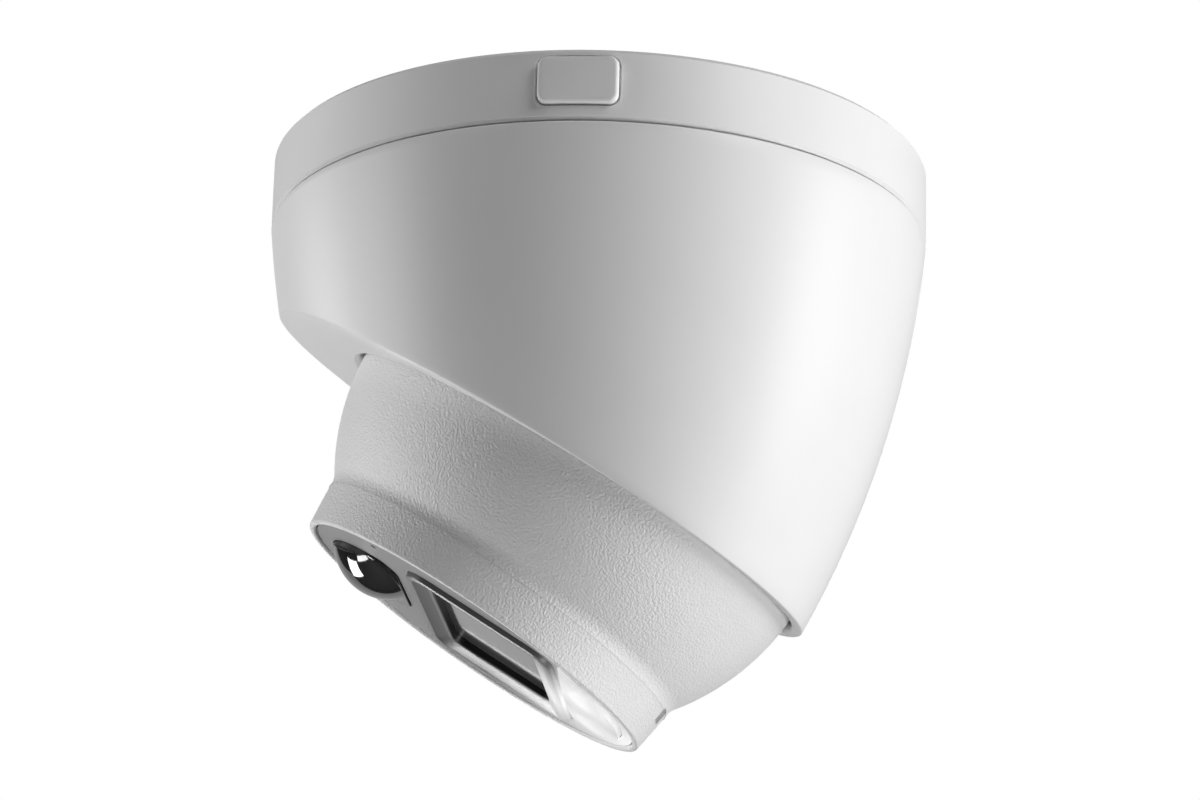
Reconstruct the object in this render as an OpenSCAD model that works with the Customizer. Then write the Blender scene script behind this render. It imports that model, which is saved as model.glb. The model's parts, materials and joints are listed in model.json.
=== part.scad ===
// Turret (eyeball) dome camera hanging from a ceiling.
// Origin: centre of the ceiling face of the base. +Z points up into the ceiling,
// the cover's cut face and the camera head look towards -Y and down.

/* [Base] */
// Outside diameter of the base ring
base_d = 122.4; // [112:0.2:150]
// Height of the base ring below the ceiling
base_h = 13.3; // [12:0.1:17]
// Wall of the base ring
base_wall = 2.8; // [2.2:0.1:3.4]
// Thickness of the plate that lies against the ceiling
plate_t = 3; // [2.4:0.1:3.6]
// Bevel on the lower edge of the base ring
base_bevel = 0.5; // [0.2:0.1:0.8]
// Pitch circle of the three ceiling screw holes
mount_pcd = 84; // [70:1:88]
// Diameter of the ceiling screw holes
mount_hole_d = 4.6; // [4:0.1:5.4]
// Diameter of the rear cable hole in the base plate
cable_hole_d = 24; // [18:0.5:28]
// Bore of the rubber grommet in the cable hole
grommet_bore_d = 17; // [12:0.5:20]

/* [Side outlet] */
// Direction of the side outlet, counted from the front (-Y) towards +X
outlet_angle = 95; // [85:0.5:120]
// Width of the outlet plug
plug_w = 14.4; // [11:0.2:17]
// Height of the outlet plug
plug_h = 8.8; // [7:0.1:9.4]
// Corner radius of the outlet plug
plug_corner = 1.7; // [1:0.1:3]
// How far the plug stands out of the ring wall
plug_proud = 1.0; // [0.6:0.1:1.6]
// Gap between the plug and its recess, all round
plug_gap = 0.4; // [0.3:0.05:0.5]
// Depth of the recess that the plug sits in
recess_depth = 0.9; // [0.6:0.1:1.2]

/* [Cover] */
// Visible seam between the base ring and the cover
seam = 0.4; // [0.3:0.1:1]
// Radius of the arc that forms the side of the cover
side_arc_r = 200; // [180:1:240]
// Height of the centre of the side arc above the ceiling plane
side_arc_z = 5; // [0:0.5:10]
// Wall of the cover
cover_wall = 2.2; // [1.8:0.1:2.5]
// Tilt of the cut face from horizontal
cut_tilt = 31.7; // [28:0.1:38]
// Distance of the cut face in front of the ball centre
cut_reach = 4.3; // [4.2:0.1:6.5]
// Turn of the cover about the vertical against the head, as stored
cover_turn = -7; // [-8:0.5:8]
// Gap between the ball and the hole in the cut face
hole_gap = 0.8; // [0.5:0.1:1]
// Height of the ring on top of the cover that turns inside the base
spigot_h = 4.3; // [3.8:0.1:5]

/* [Head] */
// Radius of the ball
ball_r = 46.2; // [43:0.1:47]
// Depth of the ball centre below the ceiling
ball_drop = 59.1; // [58:0.1:64]
// Offset of the ball centre to the front
ball_front = 1.3; // [0:0.1:3]
// Tilt of the head from straight down, as stored
head_tilt = 33; // [28:1:38]
// Roll of the head about its own axis, as stored
head_roll = 5; // [-10:1:10]
// Distance from the ball centre to the rim of the face
face_reach = 36.8; // [34:0.1:39]
// Radius of the rim of the face
rim_r = 36.4; // [33:0.1:38]
// Thickness of the rim
rim_t = 1.3; // [1:0.1:2]
// Widening of the collar from the rim to the ball
collar_flare = 0.95; // [0.4:0.05:1.4]
// Radius of the hollow fillet between the collar and the ball
neck_fillet = 4.2; // [1:0.1:6]
// Wall of the ball housing
shell_t = 2.4; // [2:0.1:3]
// Distance of the housing split behind the ball centre
split_back = 20; // [18:0.5:22]

/* [Face] */
// Depth of the face plate below the rim
plate_sink = 0.5; // [0.3:0.1:1]
// Thickness of the face plate
face_t = 1.6; // [1.2:0.1:2]
// Gap round each insert in the face
insert_gap = 0.2; // [0.15:0.05:0.3]
// Outside width of the window frame
frame_w = 51; // [44:0.5:54]
// Outside height of the window frame
frame_h = 31.5; // [28:0.5:33]
// Width of the window opening
window_w = 40; // [32:0.5:40]
// Height of the window opening
window_h = 22; // [18:0.5:23]
// Depth of the edge of the window opening below the rim
bezel_sink = 0.5; // [0.3:0.1:1.8]
// Distance of the window centre from the head axis, towards the lights
window_y = 3.9; // [3:0.1:5]
// How far the window frame stands above the face plate
frame_proud = 1.0; // [0.5:0.1:1.5]
// Thickness of the window glass
glass_t = 1.5; // [1:0.1:2]
// Depth of the outside of the glass below the rim
glass_sink = 1.9; // [1.5:0.1:4]
// Radius of the round side of the motion sensor lens
pir_r = 15.3; // [13:0.1:17]
// Distance of the straight side of the motion sensor lens from the head axis
pir_flat_y = 15.6; // [14:0.1:17]
// Height of the motion sensor lens above the face plate
pir_h = 4.3; // [3:0.1:5]
// Distance of the straight side of the light cover from the head axis
light_flat_y = 21; // [20.5:0.1:22]
// Spacing of the two warning lights
light_pitch = 18; // [14:0.5:20]

/* [Gimbal] */
// Thickness of the tilt yoke
yoke_t = 1.0; // [0.8:0.05:1.1]
// Gap between the ball and the yoke
yoke_gap = 0.4; // [0.35:0.05:0.5]
// Width of the yoke strip
yoke_w = 12; // [9:0.5:14]
// Radius of the tilt pivot pins
pivot_r = 2; // [1.6:0.1:2.2]
// Radius of the roll pivot on the back of the ball
roll_r = 3; // [2.5:0.1:3.5]
// Radial clearance of each pivot
pivot_gap = 0.06; // [0.03:0.01:0.09]

/* [Hidden] */
$fn = 96;
eps = 0.01;
far = 400;

// clearances that several pieces share
run_gap = 0.4;          // between rings that turn past each other
seat_gap = 0.1;         // between a piece and its seat in the same body

// base ring
base_r = base_d / 2;
base_in_r = base_r - base_wall;
groove_in = base_r - 7.4;           // gasket groove in the ceiling face
groove_out = base_r - 3.4;
groove_depth = 1.2;
cover_top_z = -base_h - seam;

// turning ring on top of the cover
spigot_out = base_in_r - run_gap;
spigot_in = spigot_out - 2.6;
spigot_top_z = cover_top_z + spigot_h;
flange_t = 1.6;
flange_in = spigot_in - 3.2;
hub_out = flange_in - 0.6;
hub_in = hub_out - 1.2;
keeper_top_z = spigot_top_z - flange_t - run_gap;   // flange of the retaining ring
keeper_t = 1.4;
keeper_out = spigot_in - 0.6;
keeper_post_r = 2.9;
keeper_post_at = hub_in - 1.8;
keeper_screw_r = 1.25;
keeper_head_r = 2.4;
keeper_head_h = 1.4;
shoulder_t = 2.6;

// side outlet
outlet_z = -1.75 - plug_h / 2;
outlet_wall = 1.5;                  // rim of the recess round the opening
tongue_w = plug_w - 2 * outlet_wall - 2 * plug_gap;
tongue_h = plug_h - 2 * outlet_wall - 2 * plug_gap;

// cover: the side arc meets the base radius at the seam; a deeper cover gets a flatter arc,
// so that it keeps its width round the ball
side_arc_depth = 64.1;              // from the centre of the arc to the ball, where side_arc_r holds
arc_r = side_arc_r * pow((side_arc_z + ball_drop) / side_arc_depth, 2);
arc_x = base_r - sqrt(pow(arc_r, 2) - pow(side_arc_z - cover_top_z, 2));

// ball and head
// the ball sits a little to the front, in the middle plane of the cover
ball = [ball_front * sin(cover_turn), -ball_front * cos(cover_turn), -ball_drop];
hole_r = ball_r + hole_gap;
collar_r = rim_r + collar_flare;
// where the flared collar meets the ball, counted from the ball centre
collar_back = sqrt(pow(ball_r, 2) - pow(collar_r, 2));
in_r = ball_r - shell_t;
face_in_r = rim_r - rim_t;                  // inside of the rim
face_r = face_in_r - 0.25;                  // face plate, with its dark gap
ledge_r = face_in_r - 2.1;                  // ledge that carries the face plate
face_back = -plate_sink - face_t;
split_out_r = sqrt(pow(ball_r, 2) - pow(split_back, 2));
lip_t = 2.8;

// housing screws, from the back cap into bosses in the front housing
boss_at = 36;
boss_r = 4.2;
boss_len = 12;
housing_screw_r = 1.5;
housing_head_r = 2.6;
housing_head_h = 1.7;

// gimbal
yoke_in = ball_r + yoke_gap;
yoke_out = yoke_in + yoke_t;
pad_r = 3.1;
pin_skin = 1.1;                             // cover wall left outside each pin
pad_pocket = yoke_out + 0.6;
// the pins end inside the side wall of the cover, at the height of the ball centre
pin_reach = arc_x + sqrt(pow(arc_r, 2) - pow(side_arc_z + ball_drop, 2)) - pin_skin;
roll_head_r = 5.5;
// the strap runs from pin to pin over the roll pivot, which is off its middle when the cover is turned
strap_turn = atan(tan(cover_turn) * cos(head_tilt));
strap_lean = -asin(sin(cover_turn) * sin(head_tilt));
roll_head_h = 1.8;
roll_washer_t = 0.4;

// window
window_corner = 2.4;
frame_corner = 5;
bezel_foot = 0.8;                           // flat land round the opening
glass_edge = 0.8;                           // how far the glass runs under the frame
glass_w = window_w + 2 * glass_edge;
glass_h = window_h + 2 * glass_edge;
gasket_t = 0.8;
frame_back = -glass_sink - glass_t - gasket_t;

// motion sensor lens: a barrel shape cut to a D outline
pir_round_y = pir_flat_y + 0.4;             // centre of the round side
pir_corner = 5.2;
pir_tip_y = pir_round_y + pir_r;            // furthest point of the round side
pir_mid_y = (pir_flat_y + pir_tip_y) / 2;
pir_half = (pir_tip_y - pir_flat_y) / 2;
pir_tube_r = (pow(pir_half, 2) + pow(pir_h, 2)) / (2 * pir_h);
pir_long_r = (pow(pir_r, 2) + pow(pir_h, 2)) / (2 * pir_h);
pir_wall = 1.1;
pir_skirt = 2.4;
pir_foot = -plate_sink + 0.4;               // top of the foot, just above the face plate

// light cover
light_r = ledge_r - 0.5;
light_wall = 1.2;
light_dome = 1.1;

// stack of boards behind the face, as depths below the rim
led_board_z = -7.6;
pir_board_z = -12.5;
ir_board_z = -10.5;
sensor_board_z = -26;
spreader_z = -33;
main_board_z = -41;
board_t = 1.6;
thin_board_t = 1.2;
spreader_t = 2;
lens_r = 6.6;
lens_nose_r = 8.2;
lens_top = frame_back - 0.8;
standoff_at = 29;
standoff_r = 2.6;
speaker_r = 14;
speaker_h = 5.5;

// ---------------------------------------------------------------- helpers

// a rectangle with round corners, centred
module rounded_rect(w, h, r) {
    square([w - 2 * r, h], center = true);
    square([w, h - 2 * r], center = true);
    for (x = [-1, 1], y = [-1, 1])
        translate([x * (w / 2 - r), y * (h / 2 - r)]) circle(r = r, $fn = 48);
}

// a flat ring from z to z + h
module ring(r_out, r_in, z, h) {
    translate([0, 0, z]) difference() {
        cylinder(r = r_out, h = h, $fn = 180);
        translate([0, 0, -eps]) cylinder(r = r_in, h = h + 2 * eps, $fn = 180);
    }
}

// copies round the Z axis
module around(count, start = 0) {
    for (i = [0 : count - 1]) rotate([0, 0, start + i * 360 / count]) children();
}

// stands children on the ring wall, +X outwards, at the side outlet
module at_outlet() {
    rotate([0, 0, outlet_angle - 90]) children();
}

// the cut face's frame: origin at the ball centre, -Z out of the cut face, X along the tilt pins
module in_cut() {
    translate(ball) rotate([0, 0, cover_turn]) rotate([-cut_tilt, 0, 0]) children();
}

// the tilting frame: origin at the ball centre, -Z out of the face
module in_tilt() {
    translate(ball) rotate([-head_tilt, 0, 0]) children();
}

// the yoke's frame inside it: X along the tilt pins, the strap in the XZ plane
module in_strap() {
    in_tilt() rotate([0, 0, strap_turn]) rotate([0, strap_lean, 0]) children();
}

// the head's own frame
module in_head() {
    in_tilt() rotate([0, 0, head_roll]) children();
}

// the face's own frame: z = 0 on the rim, +Z outwards, +Y towards the lights
module at_face() {
    in_head() translate([0, 0, -face_reach]) mirror([0, 0, 1]) children();
}

// everything in front of the cut face, grown or shrunk by reach
module cut_half(reach) {
    in_cut() translate([-far / 2, -far / 2, -reach - far]) cube(far);
}

// a board-like plate from z to z + t
module slab(z, t) {
    translate([0, 0, z]) linear_extrude(t) children();
}

// ---------------------------------------------------------------- base

module mount_base() color("white") difference() {
    union() {
        rotate_extrude($fn = 180) polygon([
            [0, -plate_t], [base_in_r, -plate_t], [base_in_r, -base_h],
            [base_r - base_bevel, -base_h], [base_r, -base_h + base_bevel],
            [base_r, -0.8], [base_r - 0.8, 0], [0, 0]]);
        // rib that stiffens the plate round the cable hole
        ring(cable_hole_d / 2 + 3, cable_hole_d / 2, -plate_t - 1.2, 1.2 + eps);
    }
    ring(groove_out, groove_in, -groove_depth, groove_depth + eps);
    translate([0, 0, -plate_t - 5]) cylinder(d = cable_hole_d, h = plate_t + 6);
    around(3, 30) translate([0, -mount_pcd / 2, -plate_t - 1]) cylinder(d = mount_hole_d, h = plate_t + 2);
    around(3, 90) translate([0, -keeper_post_at, 0]) {
        translate([0, 0, -keeper_head_h - 0.2]) cylinder(r = keeper_head_r + 0.2, h = 5, $fn = 48);
        translate([0, 0, -plate_t - 1]) cylinder(r = keeper_screw_r + 0.15, h = 6, $fn = 48);
    }
    // side outlet: a shallow recess and an opening through the wall
    at_outlet() {
        translate([base_r - recess_depth, 0, outlet_z]) rotate([90, 0, 90]) linear_extrude(6)
            rounded_rect(plug_w + 2 * plug_gap, plug_h + 2 * plug_gap, plug_corner + plug_gap);
        translate([base_in_r - 1, 0, outlet_z]) rotate([90, 0, 90]) linear_extrude(6)
            rounded_rect(tongue_w + 2 * plug_gap, tongue_h + 2 * plug_gap, plug_corner);
    }
    // threaded hole of the locking screw, opposite the outlet
    at_outlet() translate([-base_r - 1, 0, lock_z]) rotate([0, 90, 0])
        cylinder(r = lock_r, h = base_wall + 2, $fn = 48);
}

lock_r = 1.5;
lock_z = -base_h + 2.6;

module base_gasket() color("dimgray")
    ring(groove_out - seat_gap, groove_in + seat_gap, -groove_depth, groove_depth);

module cable_grommet() color("black") rotate_extrude() {
    bore = grommet_bore_d / 2;
    hole = cable_hole_d / 2 - seat_gap;
    rib_z = -plate_t - 1.2;
    polygon([[bore, 0], [hole, 0], [hole, rib_z - seat_gap], [hole + 1.8, rib_z - seat_gap],
        [hole + 1.8, rib_z - 1.6], [hole + 1.2, rib_z - 2.2], [bore, rib_z - 2.2]]);
}

module retaining_ring() color("darkgray") difference() {
    keeper_low_z = keeper_top_z - keeper_t;
    union() {
        ring(hub_out, hub_in, keeper_low_z, -plate_t - keeper_low_z);
        ring(keeper_out, hub_in, keeper_low_z, keeper_t);
        around(3, 90) translate([0, -keeper_post_at, keeper_low_z])
            cylinder(r = keeper_post_r, h = -plate_t - keeper_low_z, $fn = 48);
    }
    around(3, 90) translate([0, -keeper_post_at, keeper_low_z - 1])
        cylinder(r = keeper_screw_r, h = 20, $fn = 48);
    // way through for a cable that leaves by the side outlet
    at_outlet() translate([hub_in - 4, -plug_w / 2, keeper_top_z + eps]) cube([8, plug_w, 20]);
}

module ring_screws() color("silver") around(3, 90) translate([0, -keeper_post_at, 0]) difference() {
    union() {
        translate([0, 0, -keeper_head_h - 0.2]) cylinder(r = keeper_head_r, h = keeper_head_h, $fn = 48);
        translate([0, 0, -base_h + 1.5]) cylinder(r = keeper_screw_r, h = base_h - 1.5 - keeper_head_h, $fn = 48);
    }
    // cross recess
    for (a = [0, 90]) rotate([0, 0, a]) translate([-1.5, -0.35, -1.1]) cube([3, 0.7, 2]);
}

module friction_pads() color("ivory") around(3, 50) {
    pad_low_z = spigot_top_z + 0.3;
    intersection() {
        ring(spigot_out, flange_in + 0.4, pad_low_z, -plate_t - pad_low_z);
        translate([-5, -far / 2, -50]) cube([10, far / 2, 60]);
    }
}

module locking_screw() color("dimgray") at_outlet() translate([-base_r + 0.2, 0, lock_z])
    rotate([0, 90, 0]) difference() {
        cylinder(r = lock_r, h = base_wall - 0.2 + run_gap / 4, $fn = 48);
        translate([0, 0, -1]) cylinder(r = 0.85, h = 2.2, $fn = 6);
    }

module cable_outlet_plug() color("white") at_outlet() {
    face_x = base_r + plug_proud;
    edge = 0.7;
    difference() {
        union() {
            translate([base_r - recess_depth + seat_gap, 0, outlet_z]) rotate([90, 0, 90])
                linear_extrude(recess_depth + plug_proud - edge - seat_gap)
                    rounded_rect(plug_w, plug_h, plug_corner);
            // soft front edge
            translate([face_x - edge - eps, 0, outlet_z]) rotate([90, 0, 90]) hull() {
                linear_extrude(0.1) rounded_rect(plug_w, plug_h, plug_corner, $fn = 32);
                translate([0, 0, edge * 0.65]) linear_extrude(0.01)
                    rounded_rect(plug_w - edge * 0.7, plug_h - edge * 0.7, plug_corner - edge * 0.3);
                translate([0, 0, edge]) linear_extrude(0.01)
                    rounded_rect(plug_w - edge * 2, plug_h - edge * 2, plug_corner - edge * 0.6);
            }
            // tongue through the wall
            translate([base_in_r - 1.2, 0, outlet_z]) rotate([90, 0, 90])
                linear_extrude(base_wall - recess_depth + 1.2 + 2 * seat_gap)
                    rounded_rect(tongue_w, tongue_h, 1);
        }
        // hollow of the tongue, open to the inside
        translate([base_in_r - 2, 0, outlet_z]) rotate([90, 0, 90]) linear_extrude(3.2)
            rounded_rect(tongue_w - 2.4, tongue_h - 2.4, 0.6);
    }
}

// ---------------------------------------------------------------- cover

module cover_outline(inset) {
    intersection() {
        translate([arc_x, side_arc_z]) circle(r = arc_r - inset, $fn = 720);
        translate([0, -arc_r / 2 - 20]) square([base_r + 10, arc_r / 2 + 20 + cover_top_z]);
    }
}

module turret_cover() color("white") difference() {
    union() {
        difference() {
            rotate_extrude($fn = 180) difference() {
                cover_outline(0);
                // bevel at the seam
                translate([base_r, cover_top_z]) rotate([0, 0, 45]) square(0.8, center = true);
            }
            // hollow inside, closed by the shoulder above and the cut face in front
            difference() {
                translate([0, 0, -shoulder_t]) rotate_extrude($fn = 180)
                    translate([0, shoulder_t]) intersection() {
                        cover_outline(cover_wall);
                        translate([0, -arc_r]) square([base_r, arc_r + cover_top_z - shoulder_t]);
                    }
                cut_half(cut_reach - cover_wall);
            }
            translate([0, 0, cover_top_z - shoulder_t - 1]) cylinder(r = spigot_in, h = 10, $fn = 180);
        }
        ring(spigot_out, spigot_in, cover_top_z - 1, spigot_h + 1);
        ring(spigot_out, flange_in, spigot_top_z - flange_t, flange_t);
    }
    cut_half(cut_reach);
    // hole in the cut face, with its bevel
    in_cut() {
        translate([0, 0, -cut_reach - 5]) cylinder(r = hole_r, h = cut_reach + 5, $fn = 180);
        translate([0, 0, -cut_reach - 0.5]) cylinder(r1 = hole_r + 1.1, r2 = hole_r, h = 1.1, $fn = 180);
        // pockets and bearings of the tilt pivots
        rotate([0, 90, 0]) cylinder(r = pad_r + 0.5, h = 2 * pad_pocket, center = true);
        rotate([0, 90, 0]) cylinder(r = pivot_r + pivot_gap, h = 2 * pin_reach + 0.2, center = true);
    }
}

// ---------------------------------------------------------------- gimbal

module tilt_yoke() color("silver") difference() {
    in_strap() difference() {
        intersection() {
            difference() {
                sphere(r = yoke_out, $fn = 180);
                sphere(r = yoke_in, $fn = 180);
            }
            union() {
                translate([-far / 2, -yoke_w / 2, 9]) cube([far, yoke_w, far / 2]);
                translate([-far / 2, -pad_r, 0]) cube([far, 2 * pad_r, far / 2]);
                rotate([0, 90, 0]) cylinder(r = pad_r, h = far, center = true);
            }
        }
        rotate([0, 90, 0]) cylinder(r = pivot_r, h = far, center = true, $fn = 64);
    }
    in_tilt() cylinder(r = roll_r + pivot_gap, h = far, $fn = 64);
}

module pivot_pins() color("gray") in_strap() for (side = [-1, 1])
    translate([side * (yoke_in + pin_reach) / 2, 0, 0]) rotate([0, 90, 0])
        cylinder(r = pivot_r, h = pin_reach - yoke_in, center = true, $fn = 64);

module roll_washer() color("ivory") in_tilt()
    ring(roll_head_r + 0.4, roll_r + pivot_gap, yoke_out + seat_gap, roll_washer_t);

// ---------------------------------------------------------------- housing of the head

// outline of the ball and its collar, x from the axis, y towards the back
module ball_outline() {
    difference() {
        union() {
            intersection() {
                circle(r = ball_r, $fn = 360);
                translate([0, -collar_back]) square([ball_r, collar_back + split_back]);
            }
            polygon([[0, -face_reach], [rim_r, -face_reach], [collar_r, -collar_back],
                [collar_r, -collar_back + 1], [0, -collar_back + 1]]);
            neck_wedge();
        }
    }
}

// hollow fillet in the corner between the collar and the ball
neck_x = collar_r + neck_fillet;
neck_y = -sqrt(pow(ball_r + neck_fillet, 2) - pow(neck_x, 2));

module neck_wedge() {
    touch = [neck_x, neck_y] * ball_r / (ball_r + neck_fillet);
    difference() {
        polygon([[collar_r - 1.5, neck_y], [neck_x, neck_y], touch, [collar_r - 1.5, touch.y]]);
        translate([neck_x, neck_y]) circle(r = neck_fillet, $fn = 96);
    }
}

module ball_housing() color("white") in_head() difference() {
    union() {
        difference() {
            rotate_extrude($fn = 180) ball_outline();
            // inside of the ball
            difference() {
                sphere(r = in_r, $fn = 180);
                translate([0, 0, -far - face_reach + 11]) cylinder(r = far, h = far);
            }
            translate([0, 0, -face_reach - 1]) cylinder(r = ledge_r, h = 15, $fn = 180);
        }
        // bosses for the housing screws
        intersection() {
            around(4, 45) translate([0, boss_at, split_back - boss_len])
                cylinder(r = boss_r, h = boss_len, $fn = 48);
            sphere(r = in_r + 0.2, $fn = 180);
        }
    }
    // seat of the face plate
    translate([0, 0, -face_reach - 1]) cylinder(r = face_in_r, h = 1 - face_back, $fn = 180);
    // round lead-in of the rim
    translate([0, 0, -face_reach - eps]) cylinder(r1 = face_in_r + 0.3, r2 = face_in_r, h = 0.3, $fn = 180);
    around(4, 45) translate([0, boss_at, split_back - boss_len + 3])
        cylinder(r = housing_screw_r, h = boss_len, $fn = 48);
    // groove of the housing seal
    ring(seal_r + seal_w / 2, seal_r - seal_w / 2, split_back - 1, 2);
    // pry notch at the foot of the collar, on the side of the lights
    translate([-1.7, collar_r - 1.3, -collar_back - 3.4]) cube([3.4, 6, 2]);
}

seal_w = 1.3;
seal_r = split_out_r - 1.5;

module rear_cap() color("white") in_head() difference() {
    union() {
        difference() {
            sphere(r = ball_r, $fn = 180);
            sphere(r = in_r, $fn = 180);
        }
        // flange that carries the screws
        intersection() {
            sphere(r = ball_r - 0.5, $fn = 180);
            ring(split_out_r + 5, boss_at - boss_r, split_back, lip_t);
        }
        // boss of the roll pivot
        translate([0, 0, in_r - 7]) cylinder(r = roll_r + 2.6, h = 8);
    }
    translate([-far / 2, -far / 2, split_back - far + 0.05]) cube(far);
    around(4, 45) translate([0, boss_at, 0]) {
        cylinder(r = housing_screw_r + 0.2, h = far, $fn = 48);
        translate([0, 0, split_back + lip_t - 1]) cylinder(r = housing_head_r + 0.3, h = far, $fn = 48);
    }
    translate([0, 0, in_r - 8]) cylinder(r = roll_r - 0.6, h = 20, $fn = 64);
    translate([0, 18, 0]) cylinder(r = cable_r, h = far, $fn = 64);
    // flat land under the yoke
    translate([0, 0, ball_r - 0.4]) cylinder(r = 8, h = 5);
}

cable_r = 5;

module housing_seal() color("dimgray") in_head()
    ring(seal_r + seal_w / 2 - 0.1, seal_r - seal_w / 2 + 0.1, split_back - 1, 1);

module housing_screws() color("silver") in_head() around(4, 45) translate([0, boss_at, 0]) difference() {
    seat_z = split_back + lip_t - 1;
    union() {
        translate([0, 0, seat_z]) cylinder(r = housing_head_r, h = housing_head_h, $fn = 48);
        translate([0, 0, split_back - boss_len + 4]) cylinder(r = housing_screw_r, h = seat_z + boss_len - 4 - split_back + 0.1, $fn = 48);
    }
    for (a = [0, 90]) rotate([0, 0, a]) translate([-1.6, -0.35, seat_z + 0.7]) cube([3.2, 0.7, 2]);
}

module roll_pivot_screw() color("silver") in_head() difference() {
    head_z = yoke_out + 2 * seat_gap + roll_washer_t;
    union() {
        translate([0, 0, in_r - 6.5]) cylinder(r = roll_r - 0.6, h = 9, $fn = 64);
        translate([0, 0, ball_r - 0.4]) cylinder(r = roll_r, h = head_z - ball_r + 0.5, $fn = 64);
        translate([0, 0, head_z]) cylinder(r = roll_head_r, h = roll_head_h, $fn = 64);
    }
    for (a = [0, 90]) rotate([0, 0, a]) translate([-2.2, -0.5, head_z + roll_head_h - 1]) cube([4.4, 1, 2]);
}

module cable_seal() color("black") in_head() translate([0, 18, 0]) difference() {
    intersection() {
        cylinder(r = cable_r - seat_gap / 2, h = far, $fn = 64);
        translate([0, -18, 0]) difference() {
            sphere(r = ball_r - 0.2, $fn = 180);
            sphere(r = in_r - 2.5, $fn = 180);
        }
    }
    cylinder(r = 2.4, h = far, $fn = 64);
}

// ---------------------------------------------------------------- face

module pir_outline(grow = 0) {
    intersection() {
        translate([0, -pir_round_y]) circle(r = pir_r + grow, $fn = 180);
        translate([-50, -100 - pir_flat_y + grow]) square([100, 100]);
        // round the two corners of the D
        translate([0, -pir_flat_y - 50 + grow]) rounded_rect(2 * (pir_r + grow), 100, pir_corner + grow);
    }
}

module light_outline(grow = 0) {
    intersection() {
        circle(r = light_r + grow, $fn = 180);
        translate([-50, light_flat_y - grow]) square([100, 50]);
        translate([0, light_flat_y - grow + 50]) rounded_rect(2 * sqrt(pow(light_r, 2) - pow(light_flat_y, 2)) - 1.2 + 2 * grow, 100, 1.6);
    }
}

module face_plate() color("dimgray") at_face() difference() {
    slab(face_back + 0.05, face_t - 0.05) circle(r = face_r, $fn = 180);
    slab(-10, 20) translate([0, window_y])
        rounded_rect(frame_w + 2 * insert_gap, frame_h + 2 * insert_gap, frame_corner + insert_gap);
    slab(-10, 20) pir_outline(insert_gap);
    slab(-10, 20) light_outline(insert_gap);
    // microphone hole
    translate([mic_x, mic_y, -10]) cylinder(r = 0.6, h = 20, $fn = 32);
}

mic_x = 24.5;
mic_y = -19;

module window_frame() color("dimgray") at_face() difference() {
    top = frame_proud - plate_sink;
    union() {
        slab(frame_back + 0.6, -frame_back - 0.6 + top - 0.6) translate([0, window_y])
            rounded_rect(frame_w, frame_h, frame_corner);
        translate([0, window_y, top - 0.6 - eps]) hull() {
            linear_extrude(0.01) rounded_rect(frame_w, frame_h, frame_corner, $fn = 32);
            translate([0, 0, 0.6]) linear_extrude(0.01)
                rounded_rect(frame_w - 1, frame_h - 1, frame_corner - 0.5, $fn = 32);
        }
    }
    // sloping bezel down to the opening
    translate([0, window_y, -bezel_sink]) hull() {
        linear_extrude(0.01) rounded_rect(window_w + 2 * bezel_foot, window_h + 2 * bezel_foot,
            window_corner + bezel_foot, $fn = 32);
        translate([0, 0, bezel_sink + top + 0.05]) linear_extrude(0.01)
            rounded_rect(frame_w - 3.2, frame_h - 3.2, frame_corner - 1.4, $fn = 32);
    }
    slab(-20, 40) translate([0, window_y]) rounded_rect(window_w, window_h, window_corner);
    // seat of the glass, from behind
    slab(-20, 20 - glass_sink + 0.05) translate([0, window_y])
        rounded_rect(glass_w + 0.3, glass_h + 0.3, window_corner + glass_edge);
}

module window_glass() color("slategray", 0.5) at_face()
    slab(-glass_sink - glass_t, glass_t) translate([0, window_y])
        rounded_rect(glass_w, glass_h, window_corner + glass_edge);

module window_gasket() color("black") at_face() slab(frame_back, gasket_t - 0.02)
    translate([0, window_y]) difference() {
        rounded_rect(glass_w, glass_h, window_corner + glass_edge);
        rounded_rect(window_w + 0.4, window_h + 0.4, window_corner);
    }

// barrel-shaped outside of the motion sensor lens, and the D-shaped foot under it
module pir_solid(inset) {
    foot_top = pir_foot - inset;
    slab(foot_top - 30, 30) pir_outline(-inset);
    intersection() {
        pir_barrel(inset);
        slab(foot_top - 1, 30) pir_outline(-inset);
    }
}

module pir_barrel(inset) {
    translate([0, -pir_mid_y, -plate_sink + pir_h - pir_long_r]) rotate([90, 0, 0])
        rotate_extrude($fn = 360) translate([pir_long_r - pir_tube_r, 0]) intersection() {
            circle(r = pir_tube_r - inset, $fn = 180);
            translate([0, -50]) square(100);
        }
}

module motion_lens() color("black") at_face() difference() {
    intersection() {
        pir_solid(0);
        slab(-plate_sink - pir_skirt, 20) pir_outline();
    }
    pir_solid(pir_wall);
}

module light_cover() color("white", 0.8) at_face() difference() {
    dome_r = 180;
    intersection() {
        slab(-4.4, 20) light_outline();
        translate([0, 26, -plate_sink + light_dome - dome_r]) sphere(r = dome_r, $fn = 720);
    }
    intersection() {
        slab(-9, 20) light_outline(-light_wall);
        translate([0, 26, -plate_sink + light_dome - dome_r]) sphere(r = dome_r - light_wall, $fn = 720);
    }
}

// ---------------------------------------------------------------- lights and sensors

module light_board() color("green") at_face() difference() {
    slab(led_board_z - thin_board_t, thin_board_t) intersection() {
        circle(r = ledge_r - 1, $fn = 180);
        translate([-22, 20.6]) square([44, 20]);
    }
    for (side = [-1, 1]) translate([side * 19, 23, -40]) cylinder(r = 1, h = 80, $fn = 32);
}

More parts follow.
